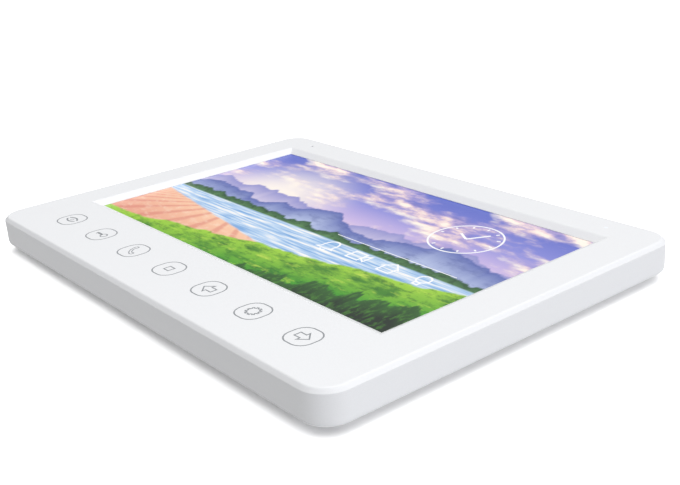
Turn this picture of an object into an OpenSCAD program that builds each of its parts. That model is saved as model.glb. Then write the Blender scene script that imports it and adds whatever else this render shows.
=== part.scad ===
// Video intercom monitor: a slim white housing with a 7 inch class screen, seven touch keys
// in a row below it, and a sheet steel wall bracket that hooks into the back.
// The monitor lies on its back: +X to the right, +Y to the top edge, +Z out of the screen.
// Z = 0 is the wall plane, X = Y = 0 the middle of the back. All sizes in millimetres.

/* [Body] */
// Outer width
body_w = 190; // [189:0.5:192]
// Outer height
body_h = 136; // [135.5:0.5:138]
// Depth from the wall plane to the face
body_d = 13; // [13:0.1:14]
// Corner radius seen from the front
corner_r = 8.5; // [7:0.5:10]
// Chamfer round the face
face_chamfer = 1.2; // [0.8:0.1:1.6]
// Height of the rim above the wall plane
rim_lift = 2.8; // [2.6:0.1:3]

/* [Screen] */
// Width of the window at the face
window_w = 160.8; // [160.2:0.1:161.2]
// Height of the window at the face
window_h = 91.3; // [90.8:0.1:91.6]
// Window centre above the body centre
window_y = 8.2; // [8:0.1:8.4]
// Inward run of the window bevel
bevel_in = 2.9; // [2.6:0.05:3]
// Depth of the window bevel
bevel_d = 1.6; // [1.3:0.1:1.6]

/* [Keys] */
// Number of touch keys
key_count = 7; // [3:2:7]
// Distance between key centres
key_pitch = 22.4; // [20:0.1:22.4]
// Key row above the body centre (negative is below)
key_y = -51.7; // [-52:0.1:-51.4]
// Outer size of a key outline
key_size = 10.1; // [9.6:0.1:10.6]
// Corner radius of a key outline
key_r = 4.1; // [3:0.1:4.5]
// Line width of a key outline
key_line = 0.45; // [0.3:0.05:0.5]

/* [Wall bracket] */
// Width of the bracket plate
bracket_w = 102; // [100:0.5:102]
// Height of the bracket plate
bracket_h = 64; // [62:0.5:64]
// Sheet thickness
sheet_t = 1; // [0.8:0.1:1]
// Travel from hooked to free
bracket_travel = 5.8; // [5.4:0.1:5.8]

/* [Resolution] */
// Facets round a large corner
round_fn = 48; // [32:8:96]
// Facets round a small hole or pin
small_fn = 20; // [16:2:32]

/* [Hidden] */

// Colours
c_abs = "#f2f3f5";
c_mark = "#8d9094";
c_steel = "#b9bdc1";
c_foam = "#2b2b2d";
c_glass = "#1c2228";
c_guide = "#e8eef2";
c_flex = "#b5742a";
c_ribbon = "#e6e2d6";
c_board = "#1f6b45";
c_chip = "#202224";
c_ferrite = "#3a3a3c";
c_tantalum = "#c88a2e";
c_nylon = "#ece8dc";
c_pin = "#d2d4d6";
c_copper = "#c27a4a";
c_rubber = "#343436";
c_wire = "#a3261f";
c_lens = "#fbfcff";
c_paper = "#4a4540";

// Fits and cutting allowances
fit = 0.3;           // gap between parts that only locate each other
screw_fit = 0.05;    // gap round a screw shank
weld = 0.2;          // how far features of one moulding run into each other
over = 1;            // overrun of a cut past the face it opens
snap_step = 0.001;   // step of the points of a section that is turned and extruded

// Moulding thicknesses and levels
wall = 2;
face_t = 1.8;
flange_t = 1.6;
pan_t = 1.6;
face_z = body_d;
face_in_z = face_z - face_t;
edge_rise = 1.2;
split_z = rim_lift + edge_rise;
flange_z = rim_lift + flange_t;
in_w = body_w - 2 * wall;
in_h = body_h - 2 * wall;
in_r = corner_r - wall;

// Rounded edges of the rim and of the window
chamfer_turn = 45;
side_round = 0.3;
face_round = 1;
window_round = 2;
edge_round_n = 4;

// Rear cover: visible lower edge, locating lip and the pan that stands on the wall
edge_inset = 0.25;
edge_chamfer = 0.55;
lip_gap = 0.2;
lip_t = 1.2;
lip_z = split_z + 1.6;
pan_w = 160;
pan_h = 110;
pan_r = 9;
pan_chamfer = 0.8;

// Housing screws: four corners and the middle of the long edges
screw_dx = body_w / 2 - 7;
screw_dy = body_h / 2 - 7;
mid_dy = body_h / 2 - 6.5;
SCREWS = [[-screw_dx, -screw_dy], [screw_dx, -screw_dy], [-screw_dx, screw_dy], [screw_dx, screw_dy],
  [0, -mid_dy], [0, mid_dy]];
well_r = 4;
well_floor_t = 1.2;
well_z = rim_lift + 3.2;
head_pit_r = 3;
seat_z = well_z - well_floor_t;
boss_r = 3.1;
shank_r = 1.3;
shank_top_z = face_in_z - 1;
head_r = 2.6;
head_h = 1.6;
recess_w = 0.6;
pilot_air = 0.4;
rib_t = 1.2;

// Screen module, from the gasket under the face down to the steel tray
gasket_t = 0.3;
glass_t = 0.5;
lcd_w = 165;
lcd_h = 100;
lcd_border_top = 4.4;
view_h = 85.9;
lcd_y1 = window_y + view_h / 2 + lcd_border_top;
lcd_y0 = lcd_y1 - lcd_h;
lcd_yc = (lcd_y0 + lcd_y1) / 2;
tray_t = 0.5;
tray_floor_t = 0.4;
glass_z = face_in_z - gasket_t;
ledge_z = glass_z - glass_t;
cell_z = ledge_z - glass_t;
lcd_d = 3.4;
lcd_z = glass_z - lcd_d;
tray_top_z = glass_z - fit;
cell_gap = 0.6;
cell_w = lcd_w - 2 * tray_t - 2 * cell_gap;
cell_h = lcd_h - 2 * tray_t - 2 * cell_gap;
ledge_h = 5;
upper_h = cell_h - ledge_h;
guide_gap = 0.2;
guide_w = lcd_w - 2 * tray_t - 2 * guide_gap;
guide_h = lcd_h - 2 * tray_t - 2 * guide_gap;
gasket_in = 1;
gasket_band = 2;
gasket_w = window_w - 2 * bevel_in + 2 * gasket_in;
gasket_h = window_h - 2 * bevel_in + 2 * gasket_in;

// Steel clips that hold the screen module against the face
clip_dx = body_w / 2 - 7.5;
CLIP_Y = [36, -24];
clip_boss_r = 2.6;
clip_t = 0.8;
clip_w = 9;
clip_reach = 11;
clip_tail = 3;
clip_shank_r = 1.2;
clip_head_r = 2.2;
clip_head_h = 1.4;
clip_shank_h = 2.9;
corral_t = 1;
corral_x = 30;
corral_len = 40;
corral_h = 2.6;

// Pocket for the wall bracket
pocket_gap = 0.6;
pocket_top_gap = 0.4;
pocket_end_gap = 0.8;
pocket_d = 3.2;
pocket_t = 1.5;
pocket_z = pocket_d + pocket_t;
pocket_x = bracket_w / 2 + pocket_gap;
pocket_y1 = bracket_h / 2 + pocket_top_gap;
pocket_y0 = -bracket_h / 2 - bracket_travel - pocket_end_gap;
pocket_r = 2;
port_r = 1;
sound_r = 2;

// Hooks lanced out of the bracket plate
hook_x = 44;
HOOK_Y = [17, -13];
hook_w = 8;
hook_lip = 5.5;
hook_gap = 0.2;
hook_bend = 1.1;
hook_lip_z = pocket_z + hook_gap + sheet_t / 2;
hook_relief = 0.4;
hook_slot_side = 0.6;
hook_slot_top = 1;
hook_slot_bottom = 6.9;
lance_len = 9.5;
lance_root = 1.6;

// Openings of the bracket plate
plate_r = 3;
cable_w = 46;
cable_h = 36;
cable_r = 2;
wall_hole_r = 2.2;
wall_hole_dx = 44;
wall_hole_dy = 27;
box_slot_dx = 30;
box_slot_len = 9;
stiff_h = 2.7;
stiff_len = 42;
stiff_bend = 0.9;
stiff_root = 1.1;
stiff_relief = 1;

// Main board behind the screen
board_t = 1.2;
board_gap = 0.5;
board_z = pocket_z + board_gap;
board_top_z = board_z + board_t;
board_x = 38;
board_y0 = -48;
board_y1 = 51.5;
STANDOFFS = [[-34.5, -44.3], [34.5, -44.3], [-34.5, 48], [34.5, 48]];
standoff_r = 2.8;
board_shank_r = 0.95;
board_head_r = 2;
board_head_h = 0.9;
board_tip_z = 2;
flat_part_h = 0.8;
low_part_h = 2.8;

// Parts of the main board: centre and size, pitch and form of their leads
PROCESSOR = [-8, 14, 14, 14];
MEMORY = [11, 14, 10, 7];
VIDEO = [-8, -8, 7, 7];
AUDIO = [23, 40, 5, 4];
CRYSTAL = [-8, 1.5, 5, 3.2];
substrate_h = 0.35;
substrate_edge = 0.7;
crystal_flange = 0.3;
crystal_r = 1;
video_leads = 12;
video_pitch = 0.5;
audio_leads = 4;
audio_pitch = 1.27;
audio_h = 1.6;
lead_t = 0.15;
lead_w = 0.24;
lead_out = 0.3;
lead_drop = 0.5;
lead_foot = 1;
power_y = 41;
INDUCTOR_X = [-24, -15];
inductor_size = 6.5;
inductor_r = 2.4;
inductor_plate = 0.7;
CAPACITOR_X = [-6, 0, 6, 12];
capacitor_w = 4.3;
capacitor_l = 7.3;
capacitor_draft = 0.25;
capacitor_split = 1.3;

// Wire sockets on the back of the main board, open towards the wall
socket_h = 4.4;
socket_t = 0.7;
socket_floor_t = 1;
socket_d = 4.5;
socket_pitch = 2;
socket_end = 1.95;
socket_row_1 = 8.85;
socket_row_2 = 3.65;
socket_x_1 = -8.9;
socket_x_2 = 2;
socket_x_3 = 10.9;
pin_w = 0.5;
pin_h = 2.8;
SOCKETS = [[socket_x_1, socket_row_1, 4], [socket_x_2, socket_row_1, 4], [socket_x_1, socket_row_2, 4],
  [socket_x_2, socket_row_2, 4], [socket_x_3, socket_row_1, 2]];
key_notch_w = 1.2;
key_notch_h = 2;
port_x = 15.2;
port_y0 = 0.6;
port_y1 = 11.7;

// Small sockets for the leads inside: edge of the board that they face and their lower side
lead_socket_x = 4.5;
lead_socket_y = 3.4;
lead_socket_h = 3;
lead_plug_x = 2;
lead_plug_edge = 0.3;
plug_window_x = 0.9;
plug_window_y = 0.6;
plug_window_d = 0.7;
SPEAKER_SOCKET = [board_x, 36];
INDICATOR_SOCKET = [board_x, 40.6];
MICROPHONE_SOCKET = [-board_x, 39];
lead_z = board_z - lead_socket_h / 2;

// Flat cables
flex_t = 0.16;
flex_w = 28;
ribbon_t = 0.2;
ribbon_w = 8;
ribbon_x = 26;
bend_n = 6;
under_lcd_z = (board_top_z + lcd_z) / 2;
flex_turn = 1.2;
flex_out_y = lcd_y0 - 1.2;
flex_bond_y = lcd_y0 + 3.6;
flex_end_y = lcd_y0 + 5;
flex_lift = 0.02;
flex_z = ledge_z + flex_lift + flex_t / 2;
zif_d = 4;
zif_side = 1;
zif_h = 0.9;
zif_flap = 1.6;
zif_line = 0.3;
ribbon_end_y = lcd_y0 + 0.9;

// Touch key board, taped to the inside of the face
tape_t = 0.3;
key_board_t = 1;
key_board_w = 148;
key_board_h = 11.4;
key_pad_size = 8.6;
key_pad_gap = 0.15;
tape_z = face_in_z - tape_t;
key_board_z = tape_z - key_board_t;
touch_chip_x = -11;
touch_chip_size = 4;
touch_leads = 6;
touch_pitch = 0.5;
mark_d = 0.2;

// Speaker, firing backwards through a raised part of the pan
speaker_x = 67;
speaker_y = -22;
speaker_w = 20;
speaker_l = 40;
speaker_r = 9.9;
speaker_rim = 2.4;
sound_x0 = 56;
sound_y0 = -45;
sound_y1 = 1;
sound_d = 1.4;
sound_z = sound_d + pan_t;
speaker_gasket_t = 0.4;
speaker_z = sound_z + speaker_gasket_t;
basket_h = 2;
basket_top_t = 0.7;
magnet_r = 6.5;
magnet_h = 1.7;
coil_r = 4.6;
coil_t = 0.5;
coil_h = 0.8;
cone_t = 0.35;
cone_gap = 0.25;
bead_r = 0.45;
dome_h = 0.4;
grille_n = 6;
grille_pitch = 5.6;
grille_w = 1.6;
grille_l = 12;
vent_n = 6;
vent_w = 1.8;
vent_l = 14;
vent_x = -66;

// Microphone and status light in the upper corners of the face
dot_x = 74.8;
dot_y = 60.2;
mic_hole_r = 0.5;
mic_r = 2.25;
mic_h = 2.2;
mic_edge = 0.3;
boot_r = 3.2;
boot_t = 0.8;
boot_h = 3;
collar_t = 0.8;
collar_h = 2;
ring_fit = 0.05;
lens_r = 0.6;
lens_flange_r = 1.5;
lens_flange_t = 0.6;
lens_len = 4.2;
led_w = 2.8;
led_l = 3.5;
led_h = 0.8;
led_gap = 0.1;
light_board_w = 9;
light_board_h = 6;
light_board_t = 1;
light_board_z = face_z - lens_len - led_gap - led_h - light_board_t;
post_dx = 3.3;
post_r = 0.8;

// Leads inside
wire_r = 0.45;
wire_gap = 1.2;
wire_sides = 8;
wire_steps = 4;
lead_touch = 0.05;
lead_straight = 4;
speaker_turn_y = 6;
SPEAKER_ROUTE = [[46, SPEAKER_SOCKET[1] + lead_socket_y / 2], [58, 35.5], [65, 28], [67, 15]];
MICROPHONE_ROUTE = [[-dot_x, 57.8, 6.9], [-73.6, 55.5, 6.2], [-71, 51.5, 5.4], [-64, 46.5, 4.4],
  [-52, 41.8, lead_z]];
INDICATOR_ROUTE = [[dot_x, 57.6, 6.1], [73.6, 55, 5.8], [71, 51.5, 5.2], [64, 47, 4.4],
  [52, 43.4, lead_z]];

// Rounded rectangle, flat
module rounded(w, h, r) {
  square([w - 2 * r, h], center = true);
  square([w, h - 2 * r], center = true);
  for (x = [-1, 1], y = [-1, 1])
    translate([x * (w / 2 - r), y * (h / 2 - r)]) circle(r);
}

// Rounded slab between two levels
module slab(w, h, r, z0, z1) {
  translate([0, 0, z0]) linear_extrude(z1 - z0) rounded(w, h, r);
}

// Rounded slab whose outline is drawn in by c0 at its lower and c1 at its upper level
module taper_slab(w, h, r, z0, z1, c0, c1) {
  for (x = [-1, 1], y = [-1, 1])
    translate([x * (w / 2 - r), y * (h / 2 - r), z0]) cylinder(h = z1 - z0, r1 = r - c0, r2 = r - c1);
  rotate([90, 0, 90]) translate([0, 0, r - w / 2]) linear_extrude(w - 2 * r) taper(h, z0, z1, c0, c1);
  rotate([90, 0, 0]) translate([0, 0, r - h / 2]) linear_extrude(h - 2 * r) taper(w, z0, z1, c0, c1);
}

// Cross section of a tapered slab
module taper(w, z0, z1, c0, c1) {
  polygon([[c0 - w / 2, z0], [w / 2 - c0, z0], [w / 2 - c1, z1], [c1 - w / 2, z1]]);
}

// Box between corner values
module box(x0, x1, y0, y1, z0, z1) {
  translate([x0, y0, z0]) cube([x1 - x0, y1 - y0, z1 - z0]);
}

// Box centred on x, y
module block(x, y, w, h, z0, z1) {
  box(x - w / 2, x + w / 2, y - h / 2, y + h / 2, z0, z1);
}

// Upright round bar
module rod(x, y, r, z0, z1) {
  translate([x, y, z0]) cylinder(h = z1 - z0, r = r, $fn = small_fn);
}

// Slot with round ends, lying along X
module slot(x, y, l, r, z0, z1) {
  for (s = [-1, 1]) rod(x + s * (l / 2 - r), y, r, z0, z1);
  block(x, y, l - 2 * r, 2 * r, z0, z1);
}

// Extrude a profile drawn in Y, Z across X
module across(x, w) {
  translate([x - w / 2, 0, 0]) rotate([90, 0, 90]) linear_extrude(w) children();
}

// Extrude a profile drawn in X, Z along Y
module along(y, h) {
  translate([0, y + h / 2, 0]) rotate([90, 0, 0]) linear_extrude(h) children();
}

// A shape and its mirror image across X = 0
module mirrored() {
  children();
  mirror([1, 0, 0]) children();
}

// Rounded cut or block between corner values
module well(x0, x1, y0, y1, r, z0, z1) {
  translate([(x0 + x1) / 2, (y0 + y1) / 2, 0]) slab(x1 - x0, y1 - y0, r, z0, z1, $fn = small_fn);
}

// Points of an arc
function arc(cx, cy, r, a0, a1, n = bend_n) =
  [for (i = [0 : n]) let (a = a0 + (a1 - a0) * i / n) [cx + r * cos(a), cy + r * sin(a)]];

// Points moved to whole steps, so that turned and straight stretches of a section share their edges
function snapped(p) =
  [for (q = p) [round(q[0] / snap_step) * snap_step, round(q[1] / snap_step) * snap_step]];

// Direction of a path at one of its points
function heading(p, i) =
  let (d = p[min(i + 1, len(p) - 1)] - p[max(i - 1, 0)]) d / norm(d);

// Outline of a strip of thickness t that follows a flat path
function strip(p, t) = concat(
  [for (i = [0 : len(p) - 1]) let (d = heading(p, i)) p[i] + [-d[1], d[0]] * t / 2],
  [for (i = [len(p) - 1 : -1 : 0]) let (d = heading(p, i)) p[i] - [-d[1], d[0]] * t / 2]);

// Smooth curve through the points of a route
function curve(a, b, c, d, t) = (2 * b + (c - a) * t + (2 * a - 5 * b + 4 * c - d) * t * t
  + (3 * b - a - 3 * c + d) * t * t * t) / 2;
function route(p) = concat(
  [for (i = [0 : len(p) - 2], k = [0 : wire_steps - 1])
    curve(p[max(i - 1, 0)], p[i], p[i + 1], p[min(i + 2, len(p) - 1)], k / wire_steps)],
  [p[len(p) - 1]]);
function sideways(p, i) = let (s = cross(heading(p, i), [0, 0, 1])) s / norm(s);

// One insulated wire along a route, shifted sideways
module wire(p, shift) {
  n = len(p);
  k = wire_sides;
  rings = [for (i = [0 : n - 1]) let (s = sideways(p, i), u = cross(s, heading(p, i)))
    for (j = [0 : k - 1]) p[i] + s * (shift + wire_r * cos(360 * j / k)) + u * wire_r * sin(360 * j / k)];
  sides = [for (i = [0 : n - 2], j = [0 : k - 1])
    [i * k + j, i * k + (j + 1) % k, (i + 1) * k + (j + 1) % k, (i + 1) * k + j]];
  ends = [[for (j = [k - 1 : -1 : 0]) j], [for (j = [0 : k - 1]) (n - 1) * k + j]];
  polyhedron(points = rings, faces = concat(sides, ends), convexity = 4);
}

// Pair of wires side by side
module lead(points) {
  p = route(points);
  for (s = [-1, 1]) wire(p, s * wire_gap / 2);
}

// Position of each touch key
module at_keys() {
  for (i = [0 : key_count - 1]) translate([(i - (key_count - 1) / 2) * key_pitch, key_y, 0]) children();
}

// Outline of one touch key
module key_ring(z0, z1) {
  difference() {
    slab(key_size, key_size, key_r, z0, z1);
    slab(key_size - 2 * key_line, key_size - 2 * key_line, key_r - key_line, z0 - over, z1 + over);
  }
}

// Half section of the rim: upright side, chamfer and face, with both edges rounded
module rim_section(half) {
  side_z = face_z - face_chamfer - side_round * tan(chamfer_turn / 2);
  face_x = half - face_chamfer - face_round * tan(chamfer_turn / 2);
  polygon(concat(
    [[0, face_z], [0, split_z], [half, split_z]],
    snapped(arc(half - side_round, side_z, side_round, 0, chamfer_turn, edge_round_n)),
    snapped(arc(face_x, face_z - face_round, face_round, chamfer_turn, 90, edge_round_n))));
}

// Outer form of the front moulding
module rim_body() {
  for (x = [-1, 1], y = [-1, 1])
    translate([x * (body_w / 2 - corner_r), y * (body_h / 2 - corner_r), 0])
      rotate_extrude() rim_section(corner_r);
  across(0, body_w - 2 * corner_r) mirrored() rim_section(body_h / 2);
  along(0, body_h - 2 * corner_r) mirrored() rim_section(body_w / 2);
}

// Section of the window: a bevel whose upper edge is rounded into the face
module window_section(w) {
  slope = atan(bevel_d / bevel_in);
  x = w / 2 + window_round * tan(slope / 2);
  edge = arc(x, face_z - window_round, window_round, 90 + slope, 90, edge_round_n);
  half = concat([[w / 2 - bevel_in, face_z - bevel_d]], edge, [[x, face_z + over]]);
  polygon(concat(half, [for (i = [len(half) - 1 : -1 : 0]) [-half[i][0], half[i][1]]]));
}

// Bevelled screen window
module window_cut() {
  translate([0, window_y, 0]) {
    intersection() {
      across(0, body_w) window_section(window_h);
      along(0, body_h) window_section(window_w);
    }
    block(0, 0, window_w - 2 * bevel_in, window_h - 2 * bevel_in, split_z, face_z);
  }
}

// Front moulding with the rim, the face, screw bosses and locating ribs
module front_housing() {
  color(c_abs) difference() {
    union() {
      difference() {
        rim_body($fn = round_fn);
        slab(in_w, in_h, in_r, split_z - over, face_in_z, $fn = round_fn);
      }
      for (s = SCREWS) rod(s[0], s[1], boss_r, well_z, face_in_z + weld);
      for (x = [-1, 1], y = [-1, 1]) {
        xw = x * (in_w / 2 + weld);
        box(min(x * screw_dx, xw), max(x * screw_dx, xw),
          y * screw_dy - rib_t / 2, y * screw_dy + rib_t / 2, well_z + fit, face_in_z + weld);
      }
      for (x = [-1, 1], y = CLIP_Y) rod(x * clip_dx, y, clip_boss_r, lcd_z, face_in_z + weld);
      screen_corral();
      rod(-dot_x, dot_y, boot_r + ring_fit + collar_t, face_in_z - collar_h, face_in_z + weld);
      for (s = [-1, 1]) rod(dot_x + s * post_dx, dot_y, post_r, light_board_z - fit, face_in_z + weld);
    }
    window_cut();
    for (s = SCREWS) rod(s[0], s[1], shank_r + screw_fit, well_z - over, shank_top_z + pilot_air);
    for (x = [-1, 1], y = CLIP_Y)
      rod(x * clip_dx, y, clip_shank_r + screw_fit, lcd_z - over, lcd_z + clip_shank_h);
    rod(-dot_x, dot_y, mic_hole_r, split_z, face_z + over);
    rod(-dot_x, dot_y, boot_r + ring_fit, split_z, face_in_z);
    rod(dot_x, dot_y, lens_r + screw_fit, split_z, face_z + over);
    at_keys() key_ring(face_z - mark_d, face_z + over, $fn = small_fn);
  }
}

// Ribs inside the face that locate the screen module
module screen_corral() {
  z0 = face_in_z - corral_h;
  z1 = face_in_z + weld;
  x = lcd_w / 2 + fit + corral_t / 2;
  for (s = [-1, 1]) {
    block(s * x, lcd_yc, corral_t, corral_len, z0, z1);
    block(s * corral_x, lcd_y1 + fit + corral_t / 2, corral_len, corral_t, z0, z1);
  }
}

// Key outlines: paint filled lines flush with the face
module key_marks() {
  color(c_mark) at_keys() key_ring(face_z - mark_d, face_z, $fn = small_fn);
}

// Rear moulding: rim edge, locating lip, pan, bracket pocket, sound outlet, wells and standoffs
module rear_cover() {
  edge_w = body_w - 2 * edge_inset;
  edge_h = body_h - 2 * edge_inset;
  edge_r = corner_r - edge_inset;
  lip_w = in_w - 2 * lip_gap;
  lip_h = in_h - 2 * lip_gap;
  lip_r = in_r - lip_gap;
  color(c_abs) difference() {
    union() {
      difference() {
        union() {
          rim_z = rim_lift + edge_chamfer;
          taper_slab(edge_w, edge_h, edge_r, rim_lift, rim_z, edge_chamfer, 0, $fn = round_fn);
          slab(edge_w, edge_h, edge_r, rim_z, split_z, $fn = round_fn);
          slab(lip_w, lip_h, lip_r, split_z - weld, lip_z, $fn = round_fn);
          taper_slab(pan_w, pan_h, pan_r, 0, pan_chamfer, pan_chamfer, 0, $fn = round_fn);
          slab(pan_w, pan_h, pan_r, pan_chamfer, rim_lift + weld, $fn = round_fn);
        }
        slab(lip_w - 2 * lip_t, lip_h - 2 * lip_t, lip_r - lip_t, flange_z, lip_z + over, $fn = round_fn);
        slab(pan_w - 2 * pan_t, pan_h - 2 * pan_t, pan_r - pan_t, pan_t, flange_z + over, $fn = round_fn);
      }
      well(-pocket_x - pocket_t, pocket_x + pocket_t, pocket_y0 - pocket_t, pocket_y1 + pocket_t,
        pocket_r + pocket_t, pan_t - weld, pocket_z);
      well(sound_x0 - pan_t, pan_w / 2, sound_y0 - pan_t, sound_y1 + pan_t, sound_r + pan_t,
        pan_t - weld, sound_z);
      for (s = SCREWS) rod(s[0], s[1], well_r, rim_lift + edge_chamfer, well_z);
      for (s = STANDOFFS) rod(s[0], s[1], standoff_r, pan_t - weld, board_z);
    }
    well(-pocket_x, pocket_x, pocket_y0, pocket_y1, pocket_r, -over, pocket_d);
    for (x = [-hook_x, hook_x], y = HOOK_Y)
      box(x - hook_w / 2 - hook_slot_side, x + hook_w / 2 + hook_slot_side,
        y - hook_slot_bottom, y + hook_slot_top, pocket_d - over, pocket_z + over);
    well(-port_x, port_x, port_y0, port_y1, port_r, pocket_d - over, pocket_z + over);
    well(sound_x0, pan_w, sound_y0, sound_y1, sound_r, -over, sound_d);
    for (i = [0 : grille_n - 1])
      slot(speaker_x, speaker_y + (i - (grille_n - 1) / 2) * grille_pitch, grille_l, grille_w / 2,
        sound_d - over, sound_z + over);
    for (i = [0 : vent_n - 1])
      slot(vent_x, speaker_y + (i - (vent_n - 1) / 2) * grille_pitch, vent_l, vent_w / 2,
        -over, pan_t + over);
    for (s = SCREWS) {
      rod(s[0], s[1], head_pit_r, rim_lift - over, seat_z);
      rod(s[0], s[1], shank_r + fit, rim_lift, well_z + over);
    }
    for (s = STANDOFFS) rod(s[0], s[1], board_shank_r + screw_fit, board_tip_z - pilot_air, board_z + over);
  }
}

// One hook of the bracket: up from the plate, then along it
function hook_path(y) = concat(
  [[y + lance_root + hook_bend, sheet_t / 2]],
  arc(y + hook_bend, sheet_t / 2 + hook_bend, hook_bend, 270, 180),
  arc(y + hook_bend, hook_lip_z - hook_bend, hook_bend, 180, 90),
  [[y + hook_lip, hook_lip_z]]);

// Stiffening flange of the bracket: along the plate, then up at its edge
function flange_path() = let (x = bracket_w / 2 - sheet_t / 2 - stiff_bend) concat(
  [[x - stiff_root, sheet_t / 2]],
  arc(x, sheet_t / 2 + stiff_bend, stiff_bend, 270, 360),
  [[x + stiff_bend, stiff_h]]);

// Sheet steel bracket that is screwed to the wall
module wall_bracket() {
  flange_x = bracket_w / 2 - sheet_t / 2 - stiff_bend;
  flange_cut = stiff_len / 2 + stiff_relief;
  color(c_steel) {
    difference() {
      slab(bracket_w, bracket_h, plate_r, 0, sheet_t, $fn = small_fn);
      for (x = [[-bracket_w, -flange_x], [flange_x, bracket_w]])
        box(x[0], x[1], -flange_cut, flange_cut, -over, sheet_t + over);
      slab(cable_w, cable_h, cable_r, -over, sheet_t + over, $fn = small_fn);
      for (x = [-hook_x, hook_x], y = HOOK_Y)
        box(x - hook_w / 2 - hook_relief, x + hook_w / 2 + hook_relief, y - lance_len, y + lance_root,
          -over, sheet_t + over);
      for (x = [-1, 1], y = [-1, 1])
        rod(x * wall_hole_dx, y * wall_hole_dy, wall_hole_r, -over, sheet_t + over);
      for (x = [-1, 1]) slot(x * box_slot_dx, 0, box_slot_len, wall_hole_r, -over, sheet_t + over);
    }
    for (x = [-hook_x, hook_x], y = HOOK_Y) across(x, hook_w) polygon(strip(hook_path(y), sheet_t));
    mirrored() along(0, stiff_len) polygon(strip(flange_path(), sheet_t));
  }
}

// Six screws that close the housing from behind
module housing_screws() {
  color(c_steel) for (s = SCREWS) difference() {
    union() {
      rod(s[0], s[1], head_r, seat_z - head_h, seat_z);
      rod(s[0], s[1], shank_r, seat_z - weld, shank_top_z);
    }
    for (a = [0, 90]) translate([s[0], s[1], seat_z - head_h]) rotate(a)
      cube([head_r, recess_w, head_h], center = true);
  }
}

// Foam ring between the face and the screen
module lcd_gasket() {
  color(c_foam) translate([0, window_y, 0]) difference() {
    block(0, 0, gasket_w + 2 * gasket_band, gasket_h + 2 * gasket_band, glass_z, face_in_z);
    block(0, 0, gasket_w, gasket_h, glass_z - over, face_in_z + over);
  }
}

// Liquid crystal cell: two glass sheets with a ledge for the flexible print
module lcd_panel() {
  color(c_glass) {
    block(0, lcd_yc, cell_w, cell_h, cell_z, ledge_z);
    block(0, lcd_yc + ledge_h / 2, cell_w, upper_h, ledge_z - weld, glass_z);
  }
}

// Light guide with its diffuser and reflector sheets
module lcd_backlight() {
  color(c_guide) block(0, lcd_yc, guide_w, guide_h, lcd_z + tray_floor_t, cell_z);
}

// Pressed steel tray of the screen module
module lcd_frame() {
  color(c_steel) difference() {
    block(0, lcd_yc, lcd_w, lcd_h, lcd_z, tray_top_z);
    block(0, lcd_yc, lcd_w - 2 * tray_t, lcd_h - 2 * tray_t, lcd_z + tray_floor_t, tray_top_z + over);
    block(0, lcd_y0, flex_w + 2 * fit, over, ledge_z - fit, tray_top_z + over);
  }
}

// Flexible print from the glass ledge round the tray to the main board
module lcd_flex() {
  y = flex_out_y + flex_turn;
  path = concat(
    [[flex_bond_y, flex_z]],
    arc(y, flex_z - flex_turn, flex_turn, 90, 180),
    arc(y, under_lcd_z + flex_turn, flex_turn, 180, 270),
    [[flex_end_y, under_lcd_z]]);
  color(c_flex) across(0, flex_w) polygon(strip(path, flex_t));
}

// Clips that press the screen module against the face
module lcd_clips() {
  color(c_steel) for (s = [-1, 1], y = CLIP_Y) difference() {
    box(min(s * (clip_dx - clip_reach), s * (clip_dx + clip_tail)),
      max(s * (clip_dx - clip_reach), s * (clip_dx + clip_tail)),
      y - clip_w / 2, y + clip_w / 2, lcd_z - clip_t, lcd_z);
    rod(s * clip_dx, y, clip_shank_r + fit, lcd_z - over - clip_t, lcd_z + over);
  }
}

// Screws of the clips
module lcd_clip_screws() {
  color(c_steel) for (s = [-1, 1], y = CLIP_Y) {
    rod(s * clip_dx, y, clip_head_r, lcd_z - clip_t - clip_head_h, lcd_z - clip_t);
    rod(s * clip_dx, y, clip_shank_r, lcd_z - clip_t - weld, lcd_z + clip_shank_h - pilot_air);
  }
}

// Printed circuit board behind the screen
module main_board() {
  color(c_board) difference() {
    box(-board_x, board_x, board_y0, board_y1, board_z, board_top_z);
    for (s = STANDOFFS) rod(s[0], s[1], board_shank_r + fit, board_z - over, board_top_z + over);
  }
}

// Four screws of the main board
module board_screws() {
  color(c_steel) for (s = STANDOFFS) {
    rod(s[0], s[1], board_head_r, board_top_z, board_top_z + board_head_h);
    rod(s[0], s[1], board_shank_r, board_tip_z, board_top_z + weld);
  }
}

// Flat part on the screen side of the main board: centre and size in one list
module front_part(p, z0 = 0, z1 = flat_part_h, inset = 0) {
  block(p[0], p[1], p[2] - 2 * inset, p[3] - 2 * inset, board_top_z + z0, board_top_z + z1);
}

// Row of bent leads along one side of a chip, drawn on a board at Z = 0
module lead_row(reach, n, pitch, h) {
  path = [[reach - weld, h / 2], [reach + lead_out, h / 2], [reach + lead_drop, lead_t / 2],
    [reach + lead_foot, lead_t / 2]];
  for (i = [0 : n - 1]) across((i - (n - 1) / 2) * pitch, lead_w) polygon(strip(path, lead_t));
}

// Processor: substrate with a smaller moulded cap
module processor() {
  color(c_chip) {
    front_part(PROCESSOR, 0, substrate_h);
    front_part(PROCESSOR, substrate_h - weld, flat_part_h, substrate_edge);
  }
}

module memory_chip() {
  color(c_chip) {
    front_part(MEMORY, 0, substrate_h);
    front_part(MEMORY, substrate_h - weld, flat_part_h, substrate_edge / 2);
  }
}

// Video chip with leads on four sides
module video_chip() {
  color(c_chip) {
    front_part(VIDEO, lead_t);
    translate([VIDEO[0], VIDEO[1], board_top_z]) for (a = [0 : 90 : 270])
      rotate(a) lead_row(VIDEO[3] / 2, video_leads, video_pitch, flat_part_h);
  }
}

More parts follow.
